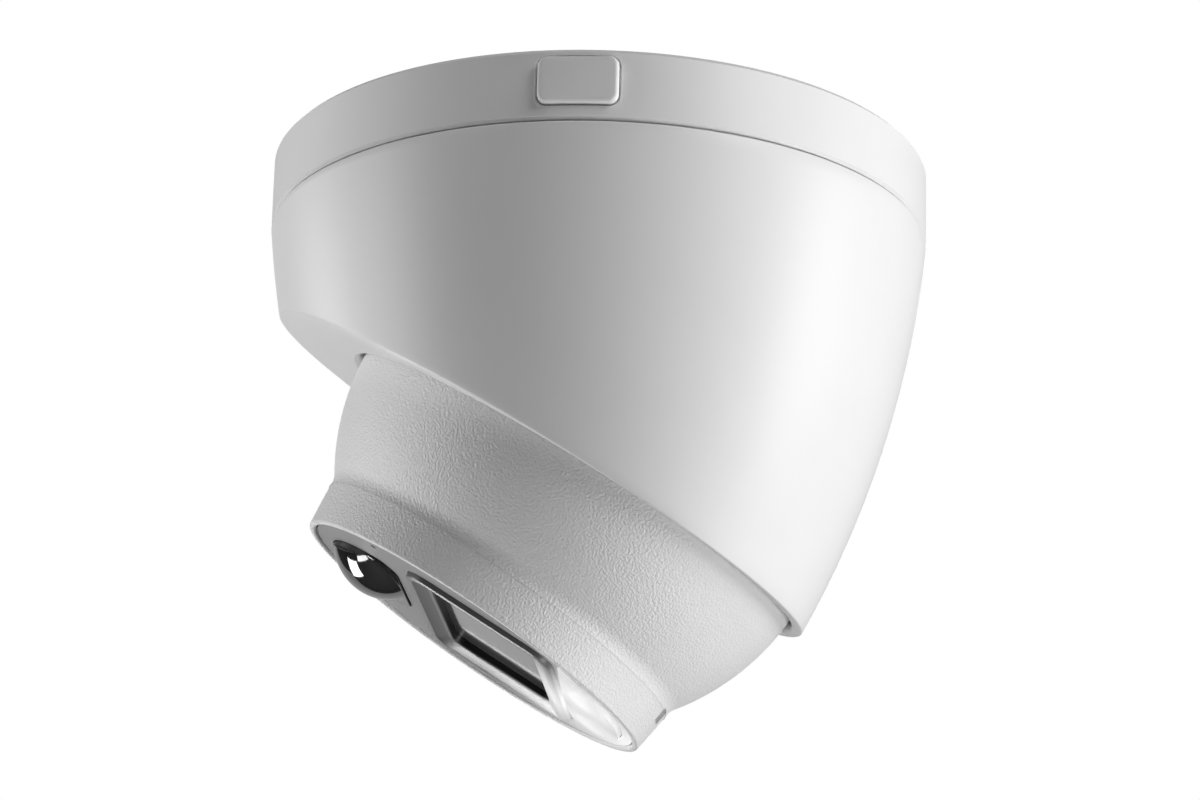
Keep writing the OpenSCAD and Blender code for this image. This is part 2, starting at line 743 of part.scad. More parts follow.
module warning_leds() color("gold") at_face() for (side = [-1, 1])
    translate([side * light_pitch / 2, 26, led_board_z]) {
        translate([-1.75, -1.4, 0]) cube([3.5, 2.8, 0.7]);
        translate([0, 0, 0.7]) intersection() {
            translate([0, 0, -0.6]) sphere(r = 1.4, $fn = 64);
            cylinder(r = 2, h = 2);
        }
    }

module light_reflectors() color("white") at_face() for (side = [-1, 1])
    translate([side * light_pitch / 2, 26, led_board_z + 0.05]) difference() {
        cylinder(r = 4.3, h = 2.6, $fn = 96);
        translate([0, 0, -0.1]) cylinder(r1 = 2.3, r2 = 4, h = 2.8, $fn = 96);
    }

module motion_board() color("green") at_face()
    slab(pir_board_z - thin_board_t, thin_board_t) intersection() {
        circle(r = ledge_r - 1, $fn = 180);
        translate([-13, -32.5]) square([26, 18]);
    }

module motion_sensor() color("silver") at_face() translate([0, -22.8, pir_board_z]) difference() {
    union() {
        cylinder(r = 4.6, h = 0.5, $fn = 96);
        cylinder(r = 4.1, h = 4.2, $fn = 96);
    }
    translate([-2, -1.5, 3.9]) cube([4, 3, 1]);
}

module infrared_board() color("darkgreen") at_face() slab(ir_board_z - thin_board_t, thin_board_t)
    translate([0, window_y]) difference() {
        rounded_rect(frame_w - 3, frame_h - 11.5, 2);
        circle(r = lens_nose_r + 0.6);
    }

module infrared_leds() color("lavender") at_face() for (side = [-1, 1])
    translate([side * 14.5, window_y, ir_board_z]) {
        translate([-1.8, -1.8, 0]) cube([3.6, 3.6, 1.2]);
        translate([0, 0, 1.2]) intersection() {
            sphere(r = 1.6, $fn = 64);
            cylinder(r = 2, h = 2);
        }
    }

module light_shield() color("black") at_face() translate([0, window_y, 0])
    ring(lens_nose_r + 2.2, lens_nose_r + 0.3, ir_board_z + 0.05, -ir_board_z + frame_back - 0.1 + gasket_t);

// ---------------------------------------------------------------- lens

lens_back = sensor_board_z + 3.4;

module lens_barrel() color("black") at_face() translate([0, window_y, 0]) difference() {
    union() {
        translate([0, 0, lens_top - 4]) cylinder(r = lens_nose_r, h = 4);
        translate([0, 0, lens_back]) cylinder(r = lens_r, h = lens_top - lens_back - 3);
    }
    translate([0, 0, lens_back - 1]) cylinder(r = 4.4, h = 40);
    translate([0, 0, lens_top - 2.2]) cylinder(r1 = 5.2, r2 = 7.6, h = 2.3);
}

module front_lens() color("midnightblue", 0.7) at_face() translate([0, window_y, 0]) {
    // domed front element, resting in the barrel's cone
    intersection() {
        translate([0, 0, lens_top - 2.1 - 4.2]) sphere(r = 6.2, $fn = 96);
        translate([0, 0, lens_top - 2.1]) cylinder(r = 5.1, h = 5);
    }
    // inner elements
    for (z = [lens_top - 5, lens_back + 3]) translate([0, 0, z]) cylinder(r = 4.38, h = 1.6);
}

module lens_holder() color("black") at_face() translate([0, window_y, 0]) difference() {
    union() {
        slab(sensor_board_z, 3.2) rounded_rect(16, 16, 1.5);
        translate([0, 0, sensor_board_z + 3]) cylinder(r = lens_r + 1.6, h = 7);
        for (side = [-1, 1]) translate([side * 10, 0, sensor_board_z]) cylinder(r = 2.4, h = 2.4, $fn = 48);
        slab(sensor_board_z, 2.4) square([20, 4.8], center = true);
    }
    slab(sensor_board_z - 1, 3.8) rounded_rect(11, 11, 1);
    translate([0, 0, sensor_board_z + 2.6]) cylinder(r = lens_r + 0.05, h = 20);
    for (side = [-1, 1]) translate([side * 10, 0, sensor_board_z - 1]) cylinder(r = 0.9, h = 6, $fn = 48);
}

module image_sensor() color("darkslategray") at_face() translate([0, window_y, sensor_board_z]) {
    translate([-4.5, -4, 0]) cube([9, 8, 1.1]);
    translate([-3.8, -3.3, 1.1]) cube([7.6, 6.6, 0.5]);
}

module sensor_board() color("green") at_face() difference() {
    slab(sensor_board_z - board_t, board_t) intersection() {
        circle(r = standoff_at + 4, $fn = 96);
        square([52, 52], center = true);
    }
    around(4, 45) translate([0, standoff_at, -100]) cylinder(r = 1.3, h = 200, $fn = 48);
}

// ---------------------------------------------------------------- boards behind

module heat_spreader() color("silver") at_face() difference() {
    slab(spreader_z - spreader_t, spreader_t) circle(r = standoff_at + 5, $fn = 180);
    around(4, 45) translate([0, standoff_at, -100]) cylinder(r = standoff_r + 0.3, h = 200, $fn = 48);
    // way through for the wiring
    slab(spreader_z - 10, 20) translate([0, 26]) rounded_rect(16, 8, 2);
}

// height of each standoff, between the sensor board and the main board
standoff_h = sensor_board_z - board_t - main_board_z;

module board_standoffs() color("goldenrod") at_face() around(4, 45)
    translate([0, standoff_at, main_board_z]) difference() {
        cylinder(r = standoff_r, h = standoff_h, $fn = 48);
        translate([0, 0, -1]) cylinder(r = 1, h = standoff_h + 2, $fn = 48);
    }

module board_screws() color("silver") at_face() around(4, 45) translate([0, standoff_at, 0]) {
    translate([0, 0, sensor_board_z]) cylinder(r = 2.1, h = 1.3, $fn = 48);
    translate([0, 0, sensor_board_z - 5]) cylinder(r = 1, h = 5.1, $fn = 48);
    translate([0, 0, main_board_z - board_t - 1.3]) cylinder(r = 2.1, h = 1.3, $fn = 48);
    translate([0, 0, main_board_z - board_t - 0.1]) cylinder(r = 1, h = 5.1, $fn = 48);
}

module main_board() color("darkgreen") at_face() difference() {
    slab(main_board_z - board_t, board_t) circle(r = standoff_at + 5, $fn = 180);
    around(4, 45) translate([0, standoff_at, -100]) cylinder(r = 1.3, h = 200, $fn = 48);
}

module processor() color("black") at_face() slab(main_board_z, 1.6) translate([0, -2])
    rounded_rect(18, 18, 0.6);

module thermal_pad() color("lightblue") at_face()
    slab(main_board_z + 1.6, spreader_z - spreader_t - main_board_z - 1.6) translate([0, -2]) square(15, center = true);

module card_socket() color("silver") at_face() translate([-23, -13, main_board_z]) difference() {
    cube([12, 14, 2]);
    translate([-1, 1, 0.5]) cube([11.6, 12, 1]);
}

module board_connectors() color("ivory") at_face() {
    for (y = [-14, 6]) translate([14, y, main_board_z]) difference() {
        cube([5, 12, 4.4]);
        translate([1, 1, 1.2]) cube([3, 10, 5]);
    }
    translate([-12, 21.5, sensor_board_z - board_t - 3]) cube([24, 3, 3]);
}

module speaker() color("black") at_face() translate([-4, -4, main_board_z - board_t - 2.6 - speaker_h]) difference() {
    cylinder(r = speaker_r, h = speaker_h, $fn = 96);
    translate([0, 0, -1]) cylinder(r1 = speaker_r - 1.5, r2 = 6, h = 3.4, $fn = 96);
}

module microphone() color("gray") at_face() translate([mic_x, mic_y, 0])
    translate([0, 0, face_back - 4]) cylinder(r = 2, h = 3.9, $fn = 64);

// ---------------------------------------------------------------- what is drawn

mount_base();
base_gasket();
cable_grommet();
retaining_ring();
ring_screws();
friction_pads();
locking_screw();
cable_outlet_plug();
turret_cover();
tilt_yoke();
pivot_pins();
roll_washer();
ball_housing();
rear_cap();
housing_seal();
housing_screws();
roll_pivot_screw();
cable_seal();
face_plate();
window_frame();
window_glass();
window_gasket();
lens_barrel();
front_lens();
lens_holder();
light_shield();
image_sensor();
sensor_board();
infrared_board();
infrared_leds();
motion_lens();
motion_sensor();
motion_board();
light_cover();
warning_leds();
light_reflectors();
light_board();
heat_spreader();
board_standoffs();
board_screws();
main_board();
processor();
thermal_pad();
card_socket();
board_connectors();
speaker();
microphone();
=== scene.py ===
# %% [markdown]
# # A ceiling turret camera
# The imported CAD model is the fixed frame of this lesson: every piece that Blender adds takes its
# place from it, in metres, with the ceiling face at z = 0 and the camera hanging below.
# Loading comes first, so that all later cells can ask the frame where things are.

# %% Load the frame
import json
import math
import bmesh
import bpy
from mathutils import Matrix, Vector


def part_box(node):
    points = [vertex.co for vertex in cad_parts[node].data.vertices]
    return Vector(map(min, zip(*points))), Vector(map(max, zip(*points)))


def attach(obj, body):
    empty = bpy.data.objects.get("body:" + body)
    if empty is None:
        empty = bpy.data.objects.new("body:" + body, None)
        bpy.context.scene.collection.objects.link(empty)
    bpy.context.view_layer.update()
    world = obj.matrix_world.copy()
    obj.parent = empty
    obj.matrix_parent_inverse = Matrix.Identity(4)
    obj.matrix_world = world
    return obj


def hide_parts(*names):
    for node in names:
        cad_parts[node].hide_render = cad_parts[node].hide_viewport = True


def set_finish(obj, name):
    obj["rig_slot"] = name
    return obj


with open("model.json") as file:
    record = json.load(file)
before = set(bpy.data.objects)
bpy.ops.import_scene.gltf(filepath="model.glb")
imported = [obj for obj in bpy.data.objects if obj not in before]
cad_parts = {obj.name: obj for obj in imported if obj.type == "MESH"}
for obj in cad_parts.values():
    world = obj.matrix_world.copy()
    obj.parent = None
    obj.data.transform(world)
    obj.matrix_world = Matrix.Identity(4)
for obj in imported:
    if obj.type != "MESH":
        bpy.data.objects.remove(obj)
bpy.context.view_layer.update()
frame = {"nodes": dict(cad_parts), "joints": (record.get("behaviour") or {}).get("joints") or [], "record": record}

mm = 0.001
print("nodes in the frame:", len(frame["nodes"]))

# %% [markdown]
# ## Driving sizes
# The joints of the record say where the ball turns and which way the head looks, so the tilt of the
# head and the turn of the cover are read from them instead of being typed again. The other sizes
# are the ones a maker would put on the drawing: radii, walls and gaps.

# %% Sizes and places
joints = {joint["name"]: joint for joint in frame["joints"]}
ball = Vector(joints["head_tilt"]["pos_m"])
head_axis = Vector(joints["head_roll"]["axis"])
pin_axis = Vector(joints["head_tilt"]["axis"])
head_lean = math.atan2(-head_axis.y, -head_axis.z)
head_roll = math.radians(5)
cover_turn = math.atan2(pin_axis.y, pin_axis.x)

base_low, base_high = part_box("mount_base")
base_r = (base_high.x - base_low.x) / 2
seam_gap = 0.4 * mm
cover_top = base_low.z - seam_gap
side_arc, side_arc_z = 200 * mm, 5 * mm
cover_wall = 2.2 * mm
cut_tilt = math.radians(31.7)
cut_reach = 4.3 * mm
ball_r = 46.2 * mm
hole_r = ball_r + 0.8 * mm
face_reach = 36.8 * mm
rim_r, rim_wall = 36.4 * mm, 1.3 * mm
plate_sink = 0.5 * mm
turns = 256

cut_place = (Matrix.Translation(ball) @ Matrix.Rotation(cover_turn, 4, "Z")
             @ Matrix.Rotation(-cut_tilt, 4, "X"))
head_place = (Matrix.Translation(ball) @ Matrix.Rotation(-head_lean, 4, "X")
              @ Matrix.Rotation(head_roll, 4, "Z"))
face_place = (head_place @ Matrix.Translation((0, 0, -face_reach))
              @ Matrix.Diagonal((1, 1, -1, 1)))
print("head leans %.1f degrees, cover turned %.1f" % (math.degrees(head_lean), math.degrees(cover_turn)))

# %% [markdown]
# ## Small tools for meshes
# Each piece starts as a bmesh and ends as an object at the origin, with its place in its mesh, as
# the CAD nodes are. The tools below finish a bmesh in that way: they merge doubles, turn all faces
# outwards, mark the edges that should stay crisp and hang the piece on its body.

# %% Finish a bmesh as a piece
crisp_angle = math.radians(32)


def make_piece(name, shape, place, body, slot, stands_for=()):
    """Turns a bmesh into a piece that rides on a body and stands for CAD nodes."""
    bmesh.ops.remove_doubles(shape, verts=shape.verts, dist=0.002 * mm)
    bmesh.ops.transform(shape, matrix=place, verts=shape.verts)
    bmesh.ops.recalc_face_normals(shape, faces=shape.faces)
    for face in shape.faces:
        face.smooth = True
    for edge in shape.edges:
        if len(edge.link_faces) == 2:
            edge.smooth = edge.calc_face_angle(0) < crisp_angle
    mesh = bpy.data.meshes.new(name)
    shape.to_mesh(mesh)
    shape.free()
    piece = bpy.data.objects.new(name, mesh)
    bpy.context.scene.collection.objects.link(piece)
    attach(piece, body)
    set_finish(piece, slot)
    if stands_for:
        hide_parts(*stands_for)
    print(name, len(mesh.polygons), "faces")
    return piece


def arc(centre, radius, start, end, count):
    """Points of an arc in a section, angles in degrees."""
    angles = [math.radians(start + (end - start) * i / count) for i in range(count + 1)]
    return [(centre[0] + radius * math.cos(a), centre[1] + radius * math.sin(a)) for a in angles]


def turned(section):
    """Spins a closed section, given as (radius, height) points, into a solid of revolution."""
    shape = bmesh.new()
    points = [shape.verts.new((r, 0, z)) for r, z in section]
    edges = [shape.edges.new((a, b)) for a, b in zip(points, points[1:] + points[:1])]
    bmesh.ops.spin(shape, geom=points + edges, cent=(0, 0, 0), axis=(0, 0, 1), dvec=(0, 0, 0),
                   angle=math.tau, steps=turns, use_merge=True)
    return shape


def pull_ring(shape, edges, rule):
    """Extrudes a closed ring of edges and moves every new vertex by a rule."""
    made = bmesh.ops.extrude_edge_only(shape, edges=edges)["geom"]
    fresh = {item for item in made if isinstance(item, bmesh.types.BMVert)}
    for vertex in fresh:
        vertex.co = rule(vertex.co.copy())
    return [item for item in made if isinstance(item, bmesh.types.BMEdge)
            and item.verts[0] in fresh and item.verts[1] in fresh]


def soften(shape, edges, width, segments):
    """Rounds edges with a small bevel."""
    bmesh.ops.bevel(shape, geom=edges, offset=width, offset_type="OFFSET", affect="EDGES",
                    segments=segments, profile=0.5, material=-1)


# %% [markdown]
# Many parts of the face are lofts between rectangles with round corners: the window frame, its
# glass and the plug of the cable outlet. A grid of one face whose four corners are bevelled gives
# the first rectangle. It is then extruded from one size to the next, and every vertex keeps its
# share of the corner it sits on, which leaves clean strips of quads.

# %% Lofts of round-cornered rectangles
corner_steps = 10


def corner_ring(shape, width, height, corner, z):
    """Adds one closed ring of edges, a rectangle with round corners."""
    grid = bmesh.ops.create_grid(shape, x_segments=1, y_segments=1, size=0.5)["verts"]
    bmesh.ops.scale(shape, vec=(width, height, 1), verts=grid)
    bmesh.ops.translate(shape, vec=(0, 0, z), verts=grid)
    bmesh.ops.bevel(shape, geom=grid, offset=corner, offset_type="OFFSET", affect="VERTICES",
                    segments=corner_steps, profile=0.5, material=-1)
    shape.faces.ensure_lookup_table()
    panel = shape.faces[0]
    edges = list(panel.edges)
    bmesh.ops.delete(shape, geom=[panel], context="FACES_ONLY")
    return edges


def to_size(old, new):
    """A rule that moves a vertex from one round-cornered rectangle to its place on another."""
    old_corner, new_corner = old[2], new[2]

    def rule(co):
        place = Vector((0, 0, new[3]))
        for axis in (0, 1):
            into_corner = abs(co[axis]) - old[axis] / 2 + old_corner
            reach = new[axis] / 2 - new_corner + into_corner * new_corner / old_corner
            place[axis] = math.copysign(reach, co[axis])
        return place
    return rule


def loft(sizes, closed=True):
    """Pulls a ring through sizes (width, height, corner, z); an open one gets a lid at each end."""
    shape = bmesh.new()
    first = corner_ring(shape, *sizes[0])
    ring = first
    for old, new in zip(sizes, sizes[1:]):
        ring = pull_ring(shape, ring, to_size(old, new))
    if closed:
        bmesh.ops.bridge_loops(shape, edges=ring + first)
    else:
        for lid in (first, ring):
            bmesh.ops.contextual_create(shape, geom=lid)
    return shape


# %% [markdown]
# ## The cover
# The cover is a bullet-shaped shell whose nose is cut off by a slanting plane, with a round hole
# for the ball. Cutting a finished shell would leave slivers along the cut. Instead a ring of edges
# is pulled down the meridians row by row, and the last row is let down exactly to the cut plane.
# The cut edge is then one clean loop, which takes a fine bevel as the moulded edge has.

# %% Meridians of the cover
side_x = base_r - math.sqrt(side_arc ** 2 - (side_arc_z - cover_top) ** 2)
cut_normal = (cut_place.to_3x3() @ Vector((0, 0, -1))).normalized()


def side_radius(z):
    """Outside radius of the cover at a height."""
    return side_x + math.sqrt(side_arc ** 2 - (z - side_arc_z) ** 2)


def meets_cut(angle, reach, inset):
    """Height at which a meridian of the wall comes down to the plane at that reach."""
    high, low = cover_top, -125 * mm
    for _ in range(40):
        z = (high + low) / 2
        r = side_radius(z) - inset
        point = Vector((r * math.cos(angle), r * math.sin(angle), z))
        if (point - ball).dot(cut_normal) < reach:
            high = z
        else:
            low = z
    return (high + low) / 2


def to_radius(radius, z):
    """A rule that moves a vertex to a radius and height on its own meridian."""
    def rule(co):
        flat = Vector((co.x, co.y, 0)).normalized() * radius
        return Vector((flat.x, flat.y, z))
    return rule


def down_wall(share, reach, inset, start):
    """A rule that lets a vertex down its meridian, by a share of the way to the cut plane."""
    def rule(co):
        angle = math.atan2(co.y, co.x)
        z = start + (meets_cut(angle, reach, inset) - start) * share
        r = side_radius(z) - inset
        return Vector((r * math.cos(angle), r * math.sin(angle), z))
    return rule


def to_hole(radius, reach, least=0):
    """A rule that moves a vertex within the cut plane to the round hole, or out to a least radius."""
    def rule(co):
        local = cut_place.inverted() @ co
        flat = Vector((local.x, local.y, 0))
        length = max(flat.length, least) if radius is None else radius
        flat = flat.normalized() * length
        return cut_place @ Vector((flat.x, flat.y, -reach))
    return rule


# %% Pull the cover out of one ring
def turret_cover():
    wall_rows, inner_rows = 28, 12
    spigot_out, spigot_in, flange_in = base_r - 3.2 * mm, base_r - 5.8 * mm, base_r - 9 * mm
    spigot_top = cover_top + 4.3 * mm
    flange_low = spigot_top - 1.6 * mm
    shoulder = cover_top - 2.6 * mm
    slab = cut_reach - cover_wall
    shape = bmesh.new()
    bmesh.ops.create_circle(shape, segments=turns, radius=spigot_out)
    bmesh.ops.translate(shape, vec=(0, 0, cover_top), verts=shape.verts)
    first = list(shape.edges)
    ring = first
    for r, z in arc((base_r - 0.45 * mm, cover_top - 0.45 * mm), 0.45 * mm, 90, 10, 4):
        ring = pull_ring(shape, ring, to_radius(r, z))
    start = z
    for row in range(1, wall_rows + 1):
        ring = pull_ring(shape, ring, down_wall(row / wall_rows, cut_reach, 0, start))
    cut_edge = ring
    ring = pull_ring(shape, ring, to_hole(hole_r, cut_reach))
    hole_edge = ring
    ring = pull_ring(shape, ring, to_hole(hole_r, slab))
    ring = pull_ring(shape, ring, down_wall(1, slab, cover_wall, shoulder))
    for vertex in {v for edge in ring for v in edge.verts}:
        vertex.co = to_hole(None, slab, hole_r + 0.4 * mm)(vertex.co)
    for row in range(inner_rows - 1, -1, -1):
        ring = pull_ring(shape, ring, down_wall(row / inner_rows, slab, cover_wall, shoulder))
    for r, z in ((spigot_in, shoulder), (spigot_in, flange_low), (flange_in, flange_low),
                 (flange_in, spigot_top), (spigot_out, spigot_top)):
        ring = pull_ring(shape, ring, to_radius(r, z))
    bmesh.ops.bridge_loops(shape, edges=ring + first)
    soften(shape, cut_edge, 0.35 * mm, 3)
    soften(shape, hole_edge, 0.8 * mm, 3)
    return make_piece("cover_shell", shape, Matrix(), "cover", "white_shell", ["turret_cover"])


cover_shell = turret_cover()

# %% [markdown]
# ## The head
# The head is a ball with a short flared collar in front. On the real part the collar runs into the
# ball with a hollow fillet, and the rim in front is thin with soft edges. All of this is round
# about one axis, so a closed section is spun once. A small pry notch at the foot of the collar is
# made by pushing a few of its faces inwards.

# %% Section of the ball and collar
collar_r = rim_r + 0.95 * mm
neck = 4.2 * mm
collar_back = math.sqrt(ball_r ** 2 - collar_r ** 2)


def head_section():
    """Radius and height in front of the ball centre, once round the wall of the housing."""
    inside_r = ball_r - 2.4 * mm
    split = 20 * mm
    ledge_r = rim_r - rim_wall - 2.1 * mm
    seat = face_reach - 2.1 * mm
    bore = face_reach - 11 * mm
    edge = 0.4 * mm
    neck_x = collar_r + neck
    neck_y = math.sqrt((ball_r + neck) ** 2 - neck_x ** 2)
    meet = math.degrees(math.atan2(neck_y, neck_x))
    split_angle = math.degrees(math.asin(split / ball_r))
    inner_split = math.degrees(math.asin(split / inside_r))
    inner_meet = math.degrees(math.asin(bore / inside_r))
    slope = math.atan2(collar_r - rim_r, face_reach - neck_y)
    section = arc((0, 0), ball_r, -split_angle, meet, 72)
    section += arc((neck_x, neck_y), neck, meet + 180, 180 - math.degrees(slope), 20)[1:]
    for height in (notch_low, notch_high):
        section.append((collar_r - (height - neck_y) * math.tan(slope), height))
    section += arc((rim_r - edge, face_reach - edge), edge, 0, 90, 5)
    section += arc((rim_r - rim_wall + edge, face_reach - edge), edge, 90, 180, 5)
    section += [(rim_r - rim_wall, seat), (ledge_r, seat), (ledge_r, bore)]
    section += arc((0, 0), inside_r, inner_meet, -inner_split, 36)
    return section


notch_low, notch_high = collar_back + 1.4 * mm, collar_back + 4.4 * mm


def head_housing():
    shape = turned([(r, -h) for r, h in head_section()])
    half_width = 2.1 * math.tau / turns
    notch = []
    for face in shape.faces:
        centre = face.calc_center_median()
        side = abs(math.atan2(centre.y, centre.x) - math.pi / 2) < half_width
        if side and notch_low < -centre.z < notch_high and centre.xy.length > rim_r - 0.5 * mm:
            notch.append(face)
    made = bmesh.ops.extrude_face_region(shape, geom=notch)["geom"]
    bmesh.ops.delete(shape, geom=notch, context="FACES")
    floor = [item for item in made if isinstance(item, bmesh.types.BMVert)]
    bmesh.ops.translate(shape, vec=(0, -2.4 * mm, 0), verts=floor)
    return make_piece("head_housing", shape, head_place, "head", "white_textured", ["ball_housing"])


housing = head_housing()

# %% [markdown]
# ## The window
# The window frame is one loft of rounded rectangles: up the outside, over a narrow land, down a
# sloping bezel and into the opening. The camera glass is a plain plate behind it.

# %% Frame and glass of the window
window_place = face_place @ Matrix.Translation((0, 3.9 * mm, 0))


def in_mm(sizes):
    """Turns sizes of (width, height, corner) in millimetres, with z in metres, into metres."""
    return [(w * mm, h * mm, corner * mm, z) for w, h, corner, z in sizes]


def window_frame():
    crown = 0.5 * mm
    foot, back, under = -0.5 * mm, -1.85 * mm, -3.6 * mm
    sizes = [(51, 31.5, 5, crown - 0.5 * mm), (50.7, 31.2, 4.85, crown - 0.15 * mm),
             (50, 30.5, 4.5, crown), (48.2, 28.7, 3.6, crown),
             (47.6, 28.1, 3.3, crown - 0.2 * mm), (42, 24, 3.4, foot + 0.06 * mm),
             (41.6, 23.6, 3.2, foot), (40.3, 22.3, 2.5, foot),
             (40, 22, 2.4, foot - 0.15 * mm), (40, 22, 2.4, back),
             (41.9, 23.9, 3.2, back), (41.9, 23.9, 3.2, under), (51, 31.5, 5, under)]
    return make_piece("window_bezel", loft(in_mm(sizes)), window_place, "head", "bezel_grey",
                      ["window_frame"])


def window_glass():
    front, back = -1.9 * mm, -3.4 * mm
    sizes = [(41.6, 23.6, 3.2, back), (41.6, 23.6, 3.2, front)]
    return make_piece("camera_glass", loft(in_mm(sizes), closed=False), window_place, "head",
                      "window_glass", ["window_glass"])


bezel = window_frame()
glass = window_glass()

# %% [markdown]
# ## Domed inserts
# The motion sensor lens and the light cover are both domed pieces with one straight side and two
# rounded corners. A grid is pressed into the outline: each row is squeezed to the width of the
# outline there, and a height rule lifts it into a dome. Rows stand closer towards both ends, so
# the round side and the corners stay smooth. The border is then extruded down as a skirt.

# %% Press a grid into a D-shaped dome
def domed_insert(centre_y, radius, flat_y, corner, height, skirt):
    """A dome over the part of a circle that lies on one side of a straight edge."""
    tip_y = centre_y - radius if flat_y < 0 else centre_y + radius
    flat_half = math.sqrt(radius ** 2 - (flat_y - centre_y) ** 2)

    def half_width(y):
        from_flat = min(abs(y - flat_y), corner)
        rounded = flat_half - corner + math.sqrt(corner ** 2 - (corner - from_flat) ** 2)
        return min(rounded, math.sqrt(max(radius ** 2 - (y - centre_y) ** 2, 0)))

    shape = bmesh.new()
    bmesh.ops.create_grid(shape, x_segments=88, y_segments=72, size=1)
    for vertex in shape.verts:
        share = (1 - math.cos(math.pi * (vertex.co.y + 1) / 2)) / 2
        y = flat_y + (tip_y - flat_y) * share
        x = vertex.co.x * half_width(y)
        vertex.co = (x, y, height(x, y))
    bmesh.ops.remove_doubles(shape, verts=shape.verts, dist=0.002 * mm)
    border = [edge for edge in shape.edges if edge.is_boundary]
    skirt_edges = pull_ring(shape, border, lambda co: Vector((co.x, co.y, skirt)))
    bmesh.ops.contextual_create(shape, geom=skirt_edges)
    return shape


# %% Motion sensor lens
def motion_lens():
    centre_y, radius, flat_y, lift = -16.0 * mm, 15.3 * mm, -15.6 * mm, 4.3 * mm
    tip_y = centre_y - radius
    middle, half = (flat_y + tip_y) / 2, (flat_y - tip_y) / 2
    tube_r = (half ** 2 + lift ** 2) / (2 * lift)
    long_r = (radius ** 2 + lift ** 2) / (2 * lift)

    def height(x, y):
        across = math.sqrt(max(tube_r ** 2 - (y - middle) ** 2, 0))
        along = math.sqrt(max((long_r - tube_r + across) ** 2 - x ** 2, 0))
        return max(lift - plate_sink - long_r + along, -0.1 * mm)

    shape = domed_insert(centre_y, radius, flat_y, 5.2 * mm, height, -2.9 * mm)
    return make_piece("sensor_dome", shape, face_place, "head", "black_gloss", ["motion_lens"])


# %% Cover of the warning lights
def light_cover():
    radius, flat_y = 32.5 * mm, 21 * mm
    lens_x, lens_y = 9 * mm, 26 * mm
    long_half, short_half, lift = 6.5 * mm, 3.4 * mm, 0.35 * mm

    def height(x, y):
        dome = 0.6 * mm - (x ** 2 + (y - lens_y) ** 2) / (2 * 290 * mm)
        away = ((abs(x) - lens_x) / long_half) ** 2 + ((y - lens_y) / short_half) ** 2
        return dome + lift * max(1 - away, 0)

    shape = domed_insert(0, radius, flat_y, 1.6 * mm, height, -4.3 * mm)
    return make_piece("light_window", shape, face_place, "head", "light_diffuser", ["light_cover"])


dome = motion_lens()
lights = light_cover()

# %% [markdown]
# ## The outlet plug
# The side outlet is closed by a soft-edged plug. It is a loft again, standing on the ring wall: the
# matrix lays the loft's height along the plug's own sliding axis.

# %% Outlet plug
outlet_axis = Vector(joints["plug_pull"]["axis"])
outlet_turn = math.atan2(outlet_axis.y, outlet_axis.x)
outlet_z = joints["plug_pull"]["pos_m"][2]
outlet_place = (Matrix.Rotation(outlet_turn, 4, "Z") @ Matrix.Translation((0, 0, outlet_z))
                @ Matrix(((0, 0, 1, 0), (1, 0, 0, 0), (0, 1, 0, 0), (0, 0, 0, 1))))


def outlet_plug():
    front, shoulder, inner = base_r + 1.0 * mm, base_r - 0.8 * mm, base_r - 4 * mm
    w, h, corner = 14.4, 8.8, 1.7
    sizes = [(10.4, 4.8, 1, inner), (10.4, 4.8, 1, shoulder), (w, h, corner, shoulder),
             (w, h, corner, front - 0.7 * mm)]
    for offset, sink in ((0.06, 0.42), (0.22, 0.19), (0.45, 0.05), (0.75, 0)):
        sizes.append((w - 2 * offset, h - 2 * offset, corner - offset * 0.6, front - sink * mm))
    return make_piece("plug_body", loft(in_mm(sizes), closed=False), outlet_place, "outlet_plug",
                      "white_shell", ["cable_outlet_plug"])


plug = outlet_plug()

# %% [markdown]
# ## A way to write materials
# Node trees are easier to read as sums. The small class Wire wraps one socket and overloads the
# arithmetic signs, so that 1 - mask or 0.4 + 0.1 * grain adds its Math nodes. A Finish holds one
# material; its method node makes any other node from a type, its settings and its inputs.

# %% Wires and finishes
class Wire:
    def __init__(self, finish, socket):
        self.finish, self.socket = finish, socket

    def sum(self, operation, first, second):
        return self.finish.node("ShaderNodeMath", {"operation": operation}, {0: first, 1: second})

    def __add__(self, other): return self.sum("ADD", self, other)
    def __radd__(self, other): return self.sum("ADD", other, self)
    def __sub__(self, other): return self.sum("SUBTRACT", self, other)
    def __rsub__(self, other): return self.sum("SUBTRACT", other, self)
    def __mul__(self, other): return self.sum("MULTIPLY", self, other)
    def __rmul__(self, other): return self.sum("MULTIPLY", other, self)
    def __truediv__(self, other): return self.sum("DIVIDE", self, other)
    def __pow__(self, other): return self.sum("POWER", self, other)


